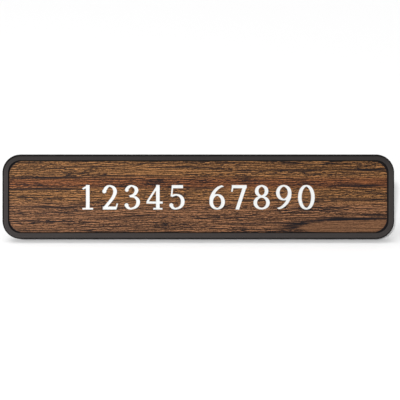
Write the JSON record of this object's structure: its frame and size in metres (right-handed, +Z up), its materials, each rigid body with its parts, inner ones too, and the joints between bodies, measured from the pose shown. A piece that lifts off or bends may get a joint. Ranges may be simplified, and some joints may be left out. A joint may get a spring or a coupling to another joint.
{
  "type": "desk name plate",
  "caption": "Framed desk name plate: a wood-print engraved plate behind the rim of a dark rounded frame, with a snap-in back and swing-out legs that lean it back on a desk.",
  "frame": {"origin": "on the desk, under the middle of the part's box with the legs swung out", "axes": "+X along the plate to the reader's right, +Y to the back, away from the reader, +Z up"},
  "size_m": [0.259, 0.046, 0.0553],
  "materials": {
    "black_plastic": "fine matt moulding grain",
    "walnut_print": "satin wood-print laminate",
    "white_plastic": "plain, showing only where the cap is cut through",
    "foam_tape": "closed-cell foam",
    "steel_wire": "drawn wire"
  },
  "bodies": {
    "holder": {"frame": "black_plastic", "plate_face": "walnut_print", "plate_core": "white_plastic", "upper_tape": "foam_tape", "lower_tape": "foam_tape", "back_cover": "black_plastic", "left_hinge_pin": "steel_wire", "right_hinge_pin": "steel_wire"},
    "left_leg": {"left_leg": "black_plastic"},
    "right_leg": {"right_leg": "black_plastic"}
  },
  "joints": [
    {"name": "left_leg_swing", "type": "hinge", "parent": "holder", "child": "left_leg", "pos_m": [-0.095, -0.00743, 0.02698], "axis": [0, -0.342, -0.9397], "range_deg": [0, 90]},
    {"name": "right_leg_swing", "type": "hinge", "parent": "holder", "child": "right_leg", "pos_m": [0.095, -0.00743, 0.02698], "axis": [0, 0.342, 0.9397], "range_deg": [0, 90]}
  ]
}
